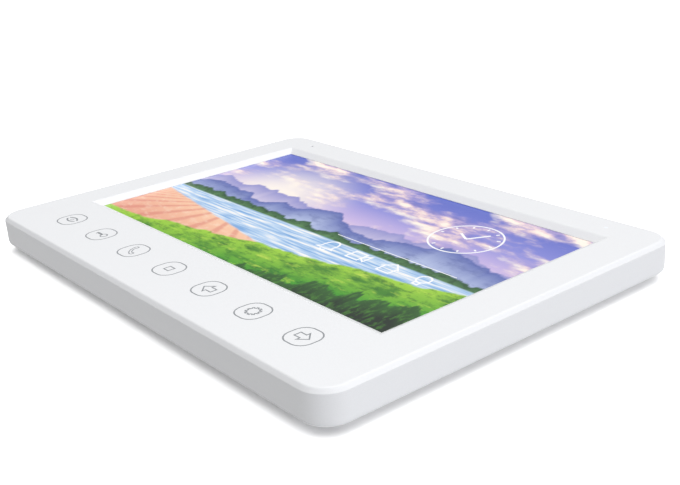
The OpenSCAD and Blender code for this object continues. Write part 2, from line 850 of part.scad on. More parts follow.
// Audio chip with leads on two sides, on the wall side of the board
module audio_chip() {
  color(c_chip) translate([AUDIO[0], AUDIO[1], board_z]) mirror([0, 0, 1]) {
    block(0, 0, AUDIO[2], AUDIO[3], lead_t, audio_h);
    for (a = [0, 180]) rotate(a) lead_row(AUDIO[3] / 2, audio_leads, audio_pitch, audio_h);
  }
}

// Crystal in a pressed can with a flange
module crystal() {
  z = board_top_z + crystal_flange;
  w = CRYSTAL[2] - 2 * crystal_flange;
  h = CRYSTAL[3] - 2 * crystal_flange;
  color(c_pin) {
    front_part(CRYSTAL, 0, crystal_flange);
    translate([CRYSTAL[0], CRYSTAL[1], 0])
      slab(w, h, crystal_r, z - weld, board_top_z + flat_part_h, $fn = small_fn);
  }
}

// Power inductors: a round core between two square plates
module power_inductors() {
  color(c_ferrite) for (x = INDUCTOR_X) {
    for (z = [board_z - low_part_h, board_z - inductor_plate])
      block(x, power_y, inductor_size, inductor_size, z, z + inductor_plate);
    rod(x, power_y, inductor_r, board_z - low_part_h, board_z);
  }
}

// Moulded capacitors, drafted both ways from the middle of their height
module capacitors() {
  color(c_tantalum) for (x = CAPACITOR_X) translate([x, 0, board_z - low_part_h])
    along(power_y, capacitor_l) {
      taper(capacitor_w, 0, capacitor_split, capacitor_draft, 0);
      taper(capacitor_w, capacitor_split, low_part_h, 0, capacitor_draft);
    }
}

// Flat cable socket on a board at Z = 0 with its cable face at Y = 0: a sloped flap between two cheeks
module cable_socket(w) {
  flap_y = zif_d - zif_flap;
  low_z = zif_h - zif_line;
  difference() {
    box(-w / 2 - zif_side, w / 2 + zif_side, 0, zif_d, 0, zif_h);
    across(0, w) polygon([[flap_y - zif_line, zif_h + over], [flap_y - zif_line, low_z], [flap_y, low_z],
      [flap_y, zif_h], [zif_d + over, low_z], [zif_d + over, zif_h + over]]);
  }
}

// Socket of the screen's flexible print
module lcd_flex_socket() {
  color(c_nylon) translate([0, flex_end_y, board_top_z]) cable_socket(flex_w);
}

// Socket of the key cable on the main board
module key_cable_socket() {
  color(c_nylon) translate([ribbon_x, ribbon_end_y, board_top_z]) cable_socket(ribbon_w);
}

// Shrouded wire socket, open towards the wall
module wire_socket(s) {
  w = (s[2] - 1) * socket_pitch + 2 * socket_end;
  low_z = board_z - socket_h;
  difference() {
    block(s[0], s[1], w, socket_d, low_z, board_z);
    block(s[0], s[1], w - 2 * socket_t, socket_d - 2 * socket_t, low_z - over, board_z - socket_floor_t);
    for (x = [-1, 1])
      block(s[0] + x * (w / 2 - socket_end), s[1] - socket_d / 2, key_notch_w, socket_t * 2 + fit,
        low_z - over, low_z + key_notch_h);
  }
}

module door_socket_1() {
  color(c_nylon) wire_socket(SOCKETS[0]);
}

module door_socket_2() {
  color(c_nylon) wire_socket(SOCKETS[1]);
}

module camera_socket_1() {
  color(c_nylon) wire_socket(SOCKETS[2]);
}

module camera_socket_2() {
  color(c_nylon) wire_socket(SOCKETS[3]);
}

module power_socket() {
  color(c_nylon) wire_socket(SOCKETS[4]);
}

// Contact pins of the wire sockets
module socket_pins() {
  top_z = board_z - socket_floor_t;
  color(c_pin) for (s = SOCKETS, i = [0 : s[2] - 1])
    block(s[0] + (i - (s[2] - 1) / 2) * socket_pitch, s[1], pin_w, pin_w, top_z - pin_h, top_z);
}

// Small two way socket at the edge of the main board, with its plug and the plug's two contact windows
module lead_socket(p) {
  plug_y = lead_socket_y / 2 - lead_plug_edge;
  plug_z = lead_plug_edge - lead_socket_h;
  color(c_nylon) translate([p[0], p[1] + lead_socket_y / 2, board_z]) rotate(p[0] > 0 ? 0 : 180) {
    box(-lead_socket_x, -lead_plug_x, -lead_socket_y / 2, lead_socket_y / 2, -lead_socket_h, 0);
    difference() {
      box(-lead_plug_x - weld, 0, -plug_y, plug_y, plug_z, -lead_plug_edge);
      for (s = [-1, 1])
        block(-lead_plug_x / 2, s * wire_gap / 2, plug_window_x, plug_window_y, plug_z - over,
          plug_z + plug_window_d);
    }
  }
}

module speaker_socket() {
  lead_socket(SPEAKER_SOCKET);
}

module microphone_socket() {
  lead_socket(MICROPHONE_SOCKET);
}

module indicator_socket() {
  lead_socket(INDICATOR_SOCKET);
}

// Touch key board
module key_board() {
  color(c_board) block(0, key_y, key_board_w, key_board_h, key_board_z, tape_z);
}

// Adhesive film between the key board and the face
module key_tape() {
  color(c_foam) difference() {
    block(0, key_y, key_board_w, key_board_h, tape_z, face_in_z);
    at_keys() block(0, 0, key_pad_size + 2 * key_pad_gap, key_pad_size + 2 * key_pad_gap,
      tape_z - over, face_in_z + over);
  }
}

// Copper sensing pads, one under each key
module key_pads() {
  color(c_copper) at_keys() block(0, 0, key_pad_size, key_pad_size, tape_z, face_in_z);
}

// Touch chip with leads on four sides, on the wall side of the key board
module touch_chip() {
  color(c_chip) translate([touch_chip_x, key_y, key_board_z]) mirror([0, 0, 1]) {
    block(0, 0, touch_chip_size, touch_chip_size, lead_t, flat_part_h);
    for (a = [0 : 90 : 270]) rotate(a) lead_row(touch_chip_size / 2, touch_leads, touch_pitch, flat_part_h);
  }
}

// Socket of the key cable on the key board
module key_board_socket() {
  color(c_nylon) translate([ribbon_x, key_y + zif_d, key_board_z]) rotate([180, 0, 0])
    cable_socket(ribbon_w);
}

// Flat cable from the key board to the main board
module key_cable() {
  y0 = key_y + zif_d;
  z0 = key_board_z - zif_h / 2;
  turn = (ribbon_end_y - y0) / 3;
  path = concat(
    [[y0, z0]],
    arc(y0 + turn / 2, z0 - turn, turn, 90, 0),
    arc(y0 + turn / 2 + 2 * turn, under_lcd_z + turn, turn, 180, 270),
    [[ribbon_end_y, under_lcd_z]]);
  color(c_ribbon) across(ribbon_x, ribbon_w) polygon(strip(path, ribbon_t));
}

// Speaker basket, open towards the wall
module speaker_frame() {
  top_z = speaker_z + basket_h;
  color(c_rubber) translate([speaker_x, speaker_y, 0]) difference() {
    slab(speaker_w, speaker_l, speaker_r, speaker_z, top_z, $fn = round_fn);
    slab(speaker_w - 2 * speaker_rim, speaker_l - 2 * speaker_rim, speaker_r - speaker_rim,
      speaker_z - over, top_z - basket_top_t, $fn = round_fn);
    rod(0, 0, coil_r + fit, speaker_z, top_z + over);
  }
}

// Half section of the cone: a sheet with a bead near its edge
module cone_section(half) {
  square([half, cone_t]);
  translate([half - 2 * bead_r, cone_t]) circle(bead_r, $fn = small_fn);
}

// Cone with round ends and a dome under the coil
module speaker_cone() {
  half = speaker_w / 2 - speaker_rim - cone_gap;
  straight = speaker_l - speaker_w;
  dome_r = (coil_r * coil_r + dome_h * dome_h) / (2 * dome_h);
  dome = arc(0, dome_r - dome_h, dome_r, 270, 270 + asin(coil_r / dome_r));
  color(c_paper) translate([speaker_x, speaker_y, speaker_z + cone_gap]) {
    for (a = [0, 180]) rotate(a) translate([0, straight / 2, 0])
      rotate_extrude(angle = 180, $fn = round_fn) cone_section(half);
    along(0, straight) mirrored() cone_section(half);
    rotate_extrude($fn = round_fn) polygon(concat(dome, [[coil_r, weld], [0, weld]]));
  }
}

// Voice coil on the cone
module speaker_coil() {
  z = speaker_z + cone_gap + cone_t;
  color(c_copper) translate([speaker_x, speaker_y, 0]) difference() {
    rod(0, 0, coil_r, z, z + coil_h);
    rod(0, 0, coil_r - coil_t, z - over, z + coil_h + over);
  }
}

module speaker_magnet() {
  z = speaker_z + basket_h;
  color(c_ferrite) rod(speaker_x, speaker_y, magnet_r, z, z + magnet_h);
}

// Sticky foam ring that holds the speaker on the cover
module speaker_gasket() {
  color(c_foam) translate([speaker_x, speaker_y, 0]) difference() {
    slab(speaker_w, speaker_l, speaker_r, sound_z, speaker_z, $fn = round_fn);
    slab(speaker_w - 2 * speaker_rim, speaker_l - 2 * speaker_rim, speaker_r - speaker_rim,
      sound_z - over, speaker_z + over, $fn = round_fn);
  }
}

module speaker_lead() {
  x = board_x + lead_touch;
  y = SPEAKER_SOCKET[1] + lead_socket_y / 2;
  end_y = speaker_y + speaker_l / 2 + lead_touch;
  end_z = speaker_z + basket_h / 2;
  color(c_wire) lead(concat([[x, y, lead_z]], [for (p = SPEAKER_ROUTE) [p[0], p[1], lead_z]],
    [[speaker_x, speaker_turn_y, end_z], [speaker_x, end_y, end_z]]));
}

// Electret capsule behind the hole at the upper left, with a rolled edge round its back
module microphone() {
  top_z = face_in_z - boot_t;
  color(c_pin) difference() {
    rod(-dot_x, dot_y, mic_r, top_z - mic_h, top_z);
    rod(-dot_x, dot_y, mic_r - mic_edge, top_z - mic_h - over, top_z - mic_h + mic_edge);
  }
}

// Rubber boot of the microphone
module microphone_boot() {
  color(c_rubber) difference() {
    rod(-dot_x, dot_y, boot_r, face_in_z - boot_h, face_in_z);
    rod(-dot_x, dot_y, mic_r + ring_fit, face_in_z - boot_h - over, face_in_z - boot_t);
    rod(-dot_x, dot_y, mic_hole_r, face_in_z - boot_t - over, face_in_z + over);
  }
}

module microphone_lead() {
  z = face_in_z - boot_h + mic_edge - wire_r - lead_touch;
  x = -board_x - lead_touch;
  y = MICROPHONE_SOCKET[1] + lead_socket_y / 2;
  color(c_wire) lead(concat([[-dot_x, dot_y, z]], MICROPHONE_ROUTE,
    [[x - lead_straight, y, lead_z], [x, y, lead_z]]));
}

// Light pipe of the status light, flush with the face
module indicator_lens() {
  color(c_lens) {
    rod(dot_x, dot_y, lens_r, face_z - lens_len, face_z);
    rod(dot_x, dot_y, lens_flange_r, face_in_z - lens_flange_t, face_in_z);
  }
}

module indicator_led() {
  color(c_lens) block(dot_x, dot_y, led_w, led_l, light_board_z + light_board_t,
    light_board_z + light_board_t + led_h);
}

// Small board of the status light, staked on two posts
module indicator_board() {
  color(c_board) difference() {
    block(dot_x, dot_y, light_board_w, light_board_h, light_board_z, light_board_z + light_board_t);
    for (s = [-1, 1])
      rod(dot_x + s * post_dx, dot_y, post_r + ring_fit, light_board_z - over,
        light_board_z + light_board_t + over);
  }
}

module indicator_lead() {
  z = light_board_z - wire_r - lead_touch;
  x = board_x + lead_touch;
  y = INDICATOR_SOCKET[1] + lead_socket_y / 2;
  color(c_wire) lead(concat([[dot_x, dot_y, z]], INDICATOR_ROUTE,
    [[x + lead_straight, y, lead_z], [x, y, lead_z]]));
}

front_housing();
key_marks();
rear_cover();
wall_bracket();
housing_screws();
lcd_gasket();
lcd_panel();
lcd_backlight();
lcd_frame();
lcd_flex();
lcd_clips();
lcd_clip_screws();
main_board();
board_screws();
processor();
memory_chip();
video_chip();
audio_chip();
crystal();
power_inductors();
capacitors();
lcd_flex_socket();
key_cable_socket();
door_socket_1();
door_socket_2();
camera_socket_1();
camera_socket_2();
power_socket();
socket_pins();
speaker_socket();
microphone_socket();
indicator_socket();
key_board();
key_tape();
key_pads();
touch_chip();
key_board_socket();
key_cable();
speaker_frame();
speaker_cone();
speaker_coil();
speaker_magnet();
speaker_gasket();
speaker_lead();
microphone();
microphone_boot();
microphone_lead();
indicator_lens();
indicator_led();
indicator_board();
indicator_lead();
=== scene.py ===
"""Looks of a white wall monitor for a video door station, lying on its back.

Sizes are in millimetres until a mesh is made, in the frame of the CAD part:
+X to the right, +Y to the top edge, +Z out of the screen, Z = 0 on the wall plane.
"""

import math

import bmesh
import bpy
from mathutils import Matrix, Vector


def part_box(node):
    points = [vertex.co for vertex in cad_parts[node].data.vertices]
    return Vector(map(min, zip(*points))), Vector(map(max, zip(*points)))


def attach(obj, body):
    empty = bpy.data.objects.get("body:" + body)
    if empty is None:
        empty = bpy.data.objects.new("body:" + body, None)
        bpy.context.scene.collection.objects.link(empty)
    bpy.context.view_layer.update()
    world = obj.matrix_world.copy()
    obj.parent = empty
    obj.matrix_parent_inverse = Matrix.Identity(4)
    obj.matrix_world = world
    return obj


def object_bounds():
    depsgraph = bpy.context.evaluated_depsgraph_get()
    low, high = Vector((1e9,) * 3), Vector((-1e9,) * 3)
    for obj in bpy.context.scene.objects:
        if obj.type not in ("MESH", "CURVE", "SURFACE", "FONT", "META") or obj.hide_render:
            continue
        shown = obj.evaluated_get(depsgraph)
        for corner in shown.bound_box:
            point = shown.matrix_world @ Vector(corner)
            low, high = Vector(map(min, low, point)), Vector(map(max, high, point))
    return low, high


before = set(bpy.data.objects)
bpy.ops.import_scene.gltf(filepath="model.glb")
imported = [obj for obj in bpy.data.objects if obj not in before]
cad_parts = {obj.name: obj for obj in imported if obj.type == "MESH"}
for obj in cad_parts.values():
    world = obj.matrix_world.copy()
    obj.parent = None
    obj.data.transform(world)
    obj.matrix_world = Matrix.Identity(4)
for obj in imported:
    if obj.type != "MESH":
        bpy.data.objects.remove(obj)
cad_low, cad_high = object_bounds()

MM = 0.001

scene = bpy.context.scene
scene.view_settings.view_transform = "Standard"


def box_mm(node):
    """Lowest and highest corner of a CAD node, in millimetres."""
    return [[v / MM for v in corner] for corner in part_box(node)]


# Places taken from the frame
face_z = cad_high[2] / MM
glass_z = box_mm("lcd_panel")[1][2]
keys_low, keys_high = box_mm("key_marks")
gasket_low, gasket_high = box_mm("lcd_gasket")

# Camera: found from the corners of the housing, the screen window and the key row
IMAGE_W = 680
CAMERA_AT = (260.77, -186.70, 126.65)
CAMERA_AZIMUTH = math.radians(52.459)
CAMERA_ELEVATION = math.radians(20.685)
CAMERA_ROLL = math.radians(-4.007)
FOCAL_PIXELS = 1030.8
SENSOR_W = 36

back = Vector((
    math.sin(CAMERA_AZIMUTH) * math.cos(CAMERA_ELEVATION),
    -math.cos(CAMERA_AZIMUTH) * math.cos(CAMERA_ELEVATION),
    math.sin(CAMERA_ELEVATION),
))
level = Vector((0, 0, 1)).cross(back).normalized()
upward = back.cross(level)
right = level * math.cos(CAMERA_ROLL) + upward * math.sin(CAMERA_ROLL)
top = upward * math.cos(CAMERA_ROLL) - level * math.sin(CAMERA_ROLL)
camera_data = bpy.data.cameras.new("camera")
camera_data.sensor_width = SENSOR_W
camera_data.lens = FOCAL_PIXELS / IMAGE_W * SENSOR_W
camera_data.clip_start = 0.01
camera = bpy.data.objects.new("camera", camera_data)
camera.matrix_world = Matrix.Translation(Vector(CAMERA_AT) * MM) @ Matrix(
    (right, top, back)).transposed().to_4x4()
scene.collection.objects.link(camera)
scene.camera = camera


# Materials

# Noise values between which a finish goes from its dark to its light colour
GRAIN_LOW, GRAIN_HIGH = 0.3, 0.7


def linear(hex_colour):
    """Linear RGBA of an sRGB hex value."""
    parts = [int(hex_colour[i:i + 2], 16) / 255 for i in (1, 3, 5)]
    return [c / 12.92 if c <= 0.04045 else ((c + 0.055) / 1.055) ** 2.4 for c in parts] + [1]


def add(tree, kind, inputs=None, ramp=None, **settings):
    """Adds a node with its settings; an input is a value or the socket it is linked to."""
    node = tree.nodes.new("ShaderNode" + kind)
    for name, value in settings.items():
        setattr(node, name, value)
    if ramp:
        while len(node.color_ramp.elements) < len(ramp):
            node.color_ramp.elements.new(1)
        for stop, (place, hex_colour) in zip(node.color_ramp.elements, ramp):
            stop.position = place
            stop.color = linear(hex_colour)
    for name, value in (inputs or {}).items():
        if isinstance(value, bpy.types.NodeSocket):
            tree.links.new(value, node.inputs[name])
        else:
            node.inputs[name].default_value = value
    return node


def per_metre(size_mm):
    """Texture scale that gives features of this size."""
    return 1 / (size_mm * MM)


def new_finish(name):
    """Empty material and its node tree."""
    material = bpy.data.materials.new(name)
    material.use_nodes = True
    material.node_tree.nodes.clear()
    return material, material.node_tree


def grained(name, light, dark, grain_mm, relief_mm, rough, swing=0.05, stretch=(1, 1, 1),
            cells=False, **shader_inputs):
    """A finish whose colour, gloss and relief all follow one grain."""
    material, tree = new_finish(name)
    place = add(tree, "TexCoord").outputs["Object"]
    laid = add(tree, "Mapping", {"Vector": place, "Scale": stretch}).outputs[0]
    scale = per_metre(grain_mm)
    if cells:
        grain = add(tree, "TexVoronoi", {"Vector": laid, "Scale": scale}).outputs["Distance"]
    else:
        grain = add(tree, "TexNoise", {
            "Vector": laid, "Scale": scale, "Detail": 4, "Roughness": 0.6}).outputs[0]
    colour = add(tree, "ValToRGB", {"Fac": grain}, ramp=[(GRAIN_LOW, dark), (GRAIN_HIGH, light)]).outputs[0]
    gloss = add(tree, "MapRange", {
        "Value": grain, "From Min": GRAIN_LOW, "From Max": GRAIN_HIGH,
        "To Min": rough - swing, "To Max": rough + swing}).outputs[0]
    relief = add(tree, "Bump", {"Height": grain, "Strength": 1, "Distance": relief_mm * MM}).outputs[0]
    shader = add(tree, "BsdfPrincipled", {"Base Color": colour, "Roughness": gloss, "Normal": relief})
    for socket, value in shader_inputs.items():
        shader.inputs[socket].default_value = value
    add(tree, "OutputMaterial", {"Surface": shader.outputs[0]})
    return material


# Moulded, rolled and sintered grains are finer than 0.2 mm on the real pieces, and about 0.03 mm on
# the housing. They are drawn coarser, because they wouldn't show.
finishes = {
    # White ABS, injection moulded in a finely spark eroded tool: a soft even sheen with no mirror image
    "abs_white": grained(
        "abs_spark_eroded_white", "#ecedef", "#e8e9eb",
        grain_mm=0.3, relief_mm=0.004, rough=0.46, IOR=1.53),
    # Grey two part ink, pad printed and wiped: flat grey line with slightly uneven cover
    "key_paint": grained(
        "ink_pad_printed_grey", "#95989c", "#8a8d91",
        grain_mm=0.2, relief_mm=0.003, rough=0.6, IOR=1.5),
    # Zinc plated steel sheet, cold rolled: bright grey with faint streaks along the rolling direction
    "zinc_steel": grained(
        "steel_cold_rolled_zinc_plated", "#ced1d4", "#b3b7bb",
        grain_mm=0.5, relief_mm=0.003, rough=0.34, swing=0.1, stretch=(0.06, 1, 1), Metallic=1.0),
    # Glass cell with a matt polariser film: near black with a blurred reflection
    "lcd_glass": grained(
        "glass_polariser_film_dark", "#171b20", "#12161a",
        grain_mm=0.25, relief_mm=0.001, rough=0.24, IOR=1.52),
    # Acrylic sheet with printed dots: milky white, a dot every millimetre
    "light_guide": grained(
        "acrylic_dot_printed", "#eef3f6", "#d8e0e6",
        grain_mm=1.0, relief_mm=0.002, rough=0.3, cells=True, IOR=1.49),
    # Closed cell polyurethane foam, die cut: dull black with open pores on its cut faces
    "black_foam": grained(
        "polyurethane_foam_cut", "#2a2a2c", "#161617",
        grain_mm=0.4, relief_mm=0.05, rough=0.92, cells=True, IOR=1.45),
    # Epoxy moulding compound: dull black with a fine stippled skin
    "chip_black": grained(
        "epoxy_moulded_black", "#26282a", "#1c1e20",
        grain_mm=0.2, relief_mm=0.006, rough=0.62, IOR=1.55),
    # Sintered ferrite: dark grey, slightly sparkling grain
    "ferrite": grained(
        "ferrite_sintered", "#454547", "#2f2f31",
        grain_mm=0.35, relief_mm=0.012, rough=0.72, IOR=2.2),
    # Moulded epoxy case: mustard yellow with a satin skin
    "tantalum_case": grained(
        "epoxy_moulded_mustard", "#d0943a", "#bf8128",
        grain_mm=0.4, relief_mm=0.006, rough=0.5, IOR=1.55),
    # Natural nylon, moulded: warm off-white with a waxy sheen
    "nylon_natural": grained(
        "nylon_moulded_natural", "#efeadd", "#e3dccb",
        grain_mm=0.8, relief_mm=0.004, rough=0.4, IOR=1.53),
    # Tinned brass: bright, slightly wavy dip coat
    "tinned_metal": grained(
        "brass_hot_tinned", "#dcdee0", "#c9cbce",
        grain_mm=0.8, relief_mm=0.006, rough=0.24, Metallic=1.0),
    # Rolled copper foil: warm metal with a satin grain
    "copper": grained(
        "copper_rolled_foil", "#d08a5c", "#b96f42",
        grain_mm=0.4, relief_mm=0.004, rough=0.34, Metallic=1.0),
    # Silicone rubber, moulded: dull charcoal that soaks up highlights
    "black_rubber": grained(
        "silicone_moulded_charcoal", "#303032", "#272729",
        grain_mm=0.5, relief_mm=0.008, rough=0.74, IOR=1.41),
    # Soft PVC sleeve, extruded: even red with a greasy sheen
    "wire_pvc": grained(
        "pvc_extruded_red", "#ad2a22", "#98211a",
        grain_mm=0.7, relief_mm=0.004, rough=0.38, IOR=1.53),
    # Pressed paper pulp: brown grey fibres lying in all directions
    "cone_paper": grained(
        "paper_pressed_pulp", "#57514b", "#3d3833",
        grain_mm=0.6, relief_mm=0.03, rough=0.9, IOR=1.5),
}

# Bands in one unit of Blender's wave texture
WAVE_BANDS = 20 / math.tau
# Part of the wave that is a conductor's edge, and its height under the film
EDGE_LOW, EDGE_HIGH = 0.45, 0.55
CONDUCTOR_STEP = 0.02


def striped(name, light, dark, pitch_mm, rough, ior):
    """A film with straight conductors that show through it, side by side along X."""
    material, tree = new_finish(name)
    place = add(tree, "TexCoord").outputs["Object"]
    lines = add(tree, "TexWave", {"Vector": place, "Scale": per_metre(pitch_mm) / WAVE_BANDS},
                bands_direction="X").outputs["Fac"]
    colour = add(tree, "ValToRGB", {"Fac": lines}, ramp=[(EDGE_LOW, dark), (EDGE_HIGH, light)]).outputs[0]
    relief = add(tree, "Bump", {"Height": lines, "Strength": 1, "Distance": CONDUCTOR_STEP * MM}).outputs[0]
    film_shader = add(tree, "BsdfPrincipled", {
        "Base Color": colour, "Normal": relief, "Roughness": rough, "IOR": ior})
    add(tree, "OutputMaterial", {"Surface": film_shader.outputs[0]})
    return material


# Polyimide film over etched copper: amber with darker gaps between the tracks
finishes["polyimide"] = striped(
    "polyimide_laminated_amber", "#c47c2a", "#9a5a1a", pitch_mm=0.8, rough=0.36, ior=1.7)
# Polyester ribbon with tinned strips inside: off-white with grey lines a millimetre apart
finishes["flat_cable"] = striped(
    "polyester_laminated_ribbon", "#ebe7dc", "#bcb9b0", pitch_mm=1.0, rough=0.4, ior=1.64)

# Spacing of the board's tracks, how many make up one block of them, and their height under the lacquer
TRACK_PITCH = 1.27
TRACKS_IN_BLOCK = 4
TRACK_STEP = 0.03


def solder_masked():
    """Glass fibre board under green lacquer: tracks stand out as lighter green steps."""
    material, tree = new_finish("glass_fibre_solder_masked_green")
    place = add(tree, "TexCoord").outputs["Object"]
    tracks = add(tree, "TexBrick", {
        "Vector": place, "Scale": per_metre(TRACK_PITCH * TRACKS_IN_BLOCK), "Mortar Size": 0.03,
        "Color1": linear("#1f6b45"), "Color2": linear("#2a7a52"), "Mortar": linear("#185638")})
    relief = add(tree, "Bump", {
        "Height": tracks.outputs["Fac"], "Strength": 1, "Distance": -TRACK_STEP * MM}).outputs[0]
    lacquer = add(tree, "BsdfPrincipled", {
        "Base Color": tracks.outputs["Color"], "Normal": relief, "Roughness": 0.32, "IOR": 1.55})
    add(tree, "OutputMaterial", {"Surface": lacquer.outputs[0]})
    return material


finishes["circuit_board"] = solder_masked()


def hazed_white(tree, haze_mm, dark, light):
    """Near white that drifts a little, for pieces that glow."""
    place = add(tree, "TexCoord").outputs["Object"]
    haze = add(tree, "TexNoise", {"Vector": place, "Scale": per_metre(haze_mm)}).outputs[0]
    return add(tree, "ValToRGB", {"Fac": haze}, ramp=[(GRAIN_LOW, dark), (GRAIN_HIGH, light)]).outputs[0]


def lit_light_pipe():
    """Clear acrylic rod with the lamp on behind it: a small even white glow."""
    material, tree = new_finish("acrylic_polished_lit")
    rod = add(tree, "BsdfPrincipled", {
        "Base Color": linear("#b9bec4"), "Roughness": 0.12, "IOR": 1.49,
        "Emission Color": hazed_white(tree, haze_mm=0.6, dark="#f4f8ff", light="#ffffff"),
        "Emission Strength": 0.5})
    add(tree, "OutputMaterial", {"Surface": rod.outputs[0]})
    return material


finishes["lens_clear"] = lit_light_pipe()

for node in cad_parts.values():
    for part_slot in node.material_slots:
        part_slot.material = finishes[part_slot.material.name.split(".")[0]]


# Picture film: it fills the window inside the gasket's band
GASKET_BAND = 2
FILM_GAP = 0.25
FILM_T = 0.25
window_y = (gasket_low[1] + gasket_high[1]) / 2
film_w = gasket_high[0] - gasket_low[0] - 2 * (GASKET_BAND + FILM_GAP)
film_h = gasket_high[1] - gasket_low[1] - 2 * (GASKET_BAND + FILM_GAP)

# Screen picture: hills over a lake, made only of gradients and noise.
# Its places and sizes are in picture heights from its lower left corner, and a scale is in features per height.
CLOUD_SCALE = 2.6
CLOUD_STRETCH = (1, 2.2, 1)
# Step towards the sun, along which a cloud that thins out is lit
CLOUD_STEP = (-0.03, -0.05, 0)
SUN_AT = (0.42, 0.55, 0)
SUN_R = 0.02
SUN_HAZE_R = 0.5
SHORE = 0.4
SHORE_BLUR = 0.005
RIPPLE_SCALE = 5
RIPPLE_STRETCH = (1, 12, 1)
# The field's rows run to this point
ROWS_MEET_U, ROWS_MEET_V = 0.5, 0.45
ROW_TURNS = 16
RIDGE_BLUR = 0.006


def ridge(tree, u, v, base, slope, height, width, seed, crest, foot, fade):
    """Picture layer: everything below a ridge line, as its cover and its colour.

    The line starts at base, climbs by slope and has bumps of this height and width.
    Its colour goes from crest to foot over the depth fade.
    """
    along = add(tree, "Math", {0: u, 1: 1 / width, 2: seed}, operation="MULTIPLY_ADD").outputs[0]
    bumps = add(tree, "TexNoise", {"W": along, "Scale": 1, "Detail": 7, "Roughness": 0.55},
                noise_dimensions="1D").outputs[0]
    rise = add(tree, "Math", {0: bumps, 1: height, 2: base - height / 2},
               operation="MULTIPLY_ADD").outputs[0]
    skyline = add(tree, "Math", {0: u, 1: slope, 2: rise}, operation="MULTIPLY_ADD").outputs[0]
    depth = add(tree, "Math", {0: skyline, 1: v}, operation="SUBTRACT").outputs[0]
    shade = add(tree, "MapRange", {"Value": depth, "From Max": fade}).outputs[0]
    tone = add(tree, "ValToRGB", {"Fac": shade}, ramp=[(0, crest), (1, foot)]).outputs[0]
    cover = add(tree, "MapRange", {
        "Value": depth, "From Min": -RIDGE_BLUR, "From Max": RIDGE_BLUR}).outputs[0]
    return cover, tone


def patches(tree, place, within, stretch, size, low, high, strength, hex_colour):
    """Picture layer: noise patches of one colour inside another layer."""
    drawn = add(tree, "Mapping", {"Vector": place, "Scale": stretch}).outputs[0]
    noise = add(tree, "TexNoise", {
        "Vector": drawn, "Scale": 1 / size, "Detail": 8, "Roughness": 0.65}).outputs[0]
    spots = add(tree, "MapRange", {
        "Value": noise, "From Min": low, "From Max": high, "To Max": strength}).outputs[0]
    cover = add(tree, "Math", {0: spots, 1: within[0]}, operation="MULTIPLY").outputs[0]
    return cover, linear(hex_colour)


def cloud_layer(tree, laid):
    """Picture layer: evening clouds, lit where they thin out towards the low sun."""
    vapour, thinner = [add(tree, "TexNoise", {
        "Vector": add(tree, "Mapping", {"Vector": laid, "Location": step, "Scale": CLOUD_STRETCH}).outputs[0],
        "Scale": CLOUD_SCALE, "Detail": 9, "Roughness": 0.56}).outputs[0]
        for step in ((0, 0, 0), CLOUD_STEP)]
    cover = add(tree, "MapRange", {"Value": vapour, "From Min": 0.46, "From Max": 0.6}).outputs[0]
    thinning = add(tree, "Math", {0: vapour, 1: thinner}, operation="SUBTRACT").outputs[0]
    lit = add(tree, "MapRange", {"Value": thinning, "From Min": -0.1, "From Max": 0.09}).outputs[0]
    colour = add(tree, "ValToRGB", {"Fac": lit}, ramp=[
        (0, "#7f79bb"), (0.4, "#b7a5d3"), (0.7, "#ecd3d6"), (1, "#fff3e6")]).outputs[0]
    return cover, colour


def sun_layer(tree, laid):
    """Picture layer: pale glow round the low sun."""
    away = add(tree, "VectorMath", {0: laid, 1: SUN_AT}, operation="DISTANCE").outputs["Value"]
    cover = add(tree, "MapRange", {
        "Value": away, "From Min": SUN_R, "From Max": SUN_HAZE_R, "To Min": 0.95, "To Max": 0},
        interpolation_type="SMOOTHSTEP").outputs[0]
    return cover, linear("#fff6ea")


def lake_layer(tree, laid, v):
    """Picture layer: rippled water below the shore."""
    drawn = add(tree, "Mapping", {"Vector": laid, "Scale": RIPPLE_STRETCH}).outputs[0]
    waves = add(tree, "TexNoise", {"Vector": drawn, "Scale": RIPPLE_SCALE, "Detail": 5}).outputs[0]
    water = add(tree, "ValToRGB", {"Fac": waves}, ramp=[
        (0.35, "#7ba9dc"), (0.52, "#bcd5f0"), (0.66, "#fdf9f4")]).outputs[0]
    cover = add(tree, "MapRange", {
        "Value": v, "From Min": SHORE + SHORE_BLUR, "From Max": SHORE - SHORE_BLUR}).outputs[0]
    return cover, water


def row_layer(tree, u, v, field):
    """Picture layer: darker rows across the flower field."""
    below = add(tree, "Math", {0: ROWS_MEET_V, 1: v}, operation="SUBTRACT").outputs[0]
    beside = add(tree, "Math", {0: u, 1: ROWS_MEET_U}, operation="SUBTRACT").outputs[0]
    fan = add(tree, "Math", {0: beside, 1: below}, operation="DIVIDE").outputs[0]
    turns = add(tree, "Math", {0: fan, 1: ROW_TURNS}, operation="MULTIPLY").outputs[0]
    rows = add(tree, "Math", {0: turns}, operation="SINE").outputs[0]
    dark = add(tree, "MapRange", {
        "Value": rows, "From Min": 0.1, "From Max": 0.9, "To Max": 0.5}).outputs[0]
    cover = add(tree, "Math", {0: dark, 1: field[0]}, operation="MULTIPLY").outputs[0]
    return cover, linear("#d4776c")


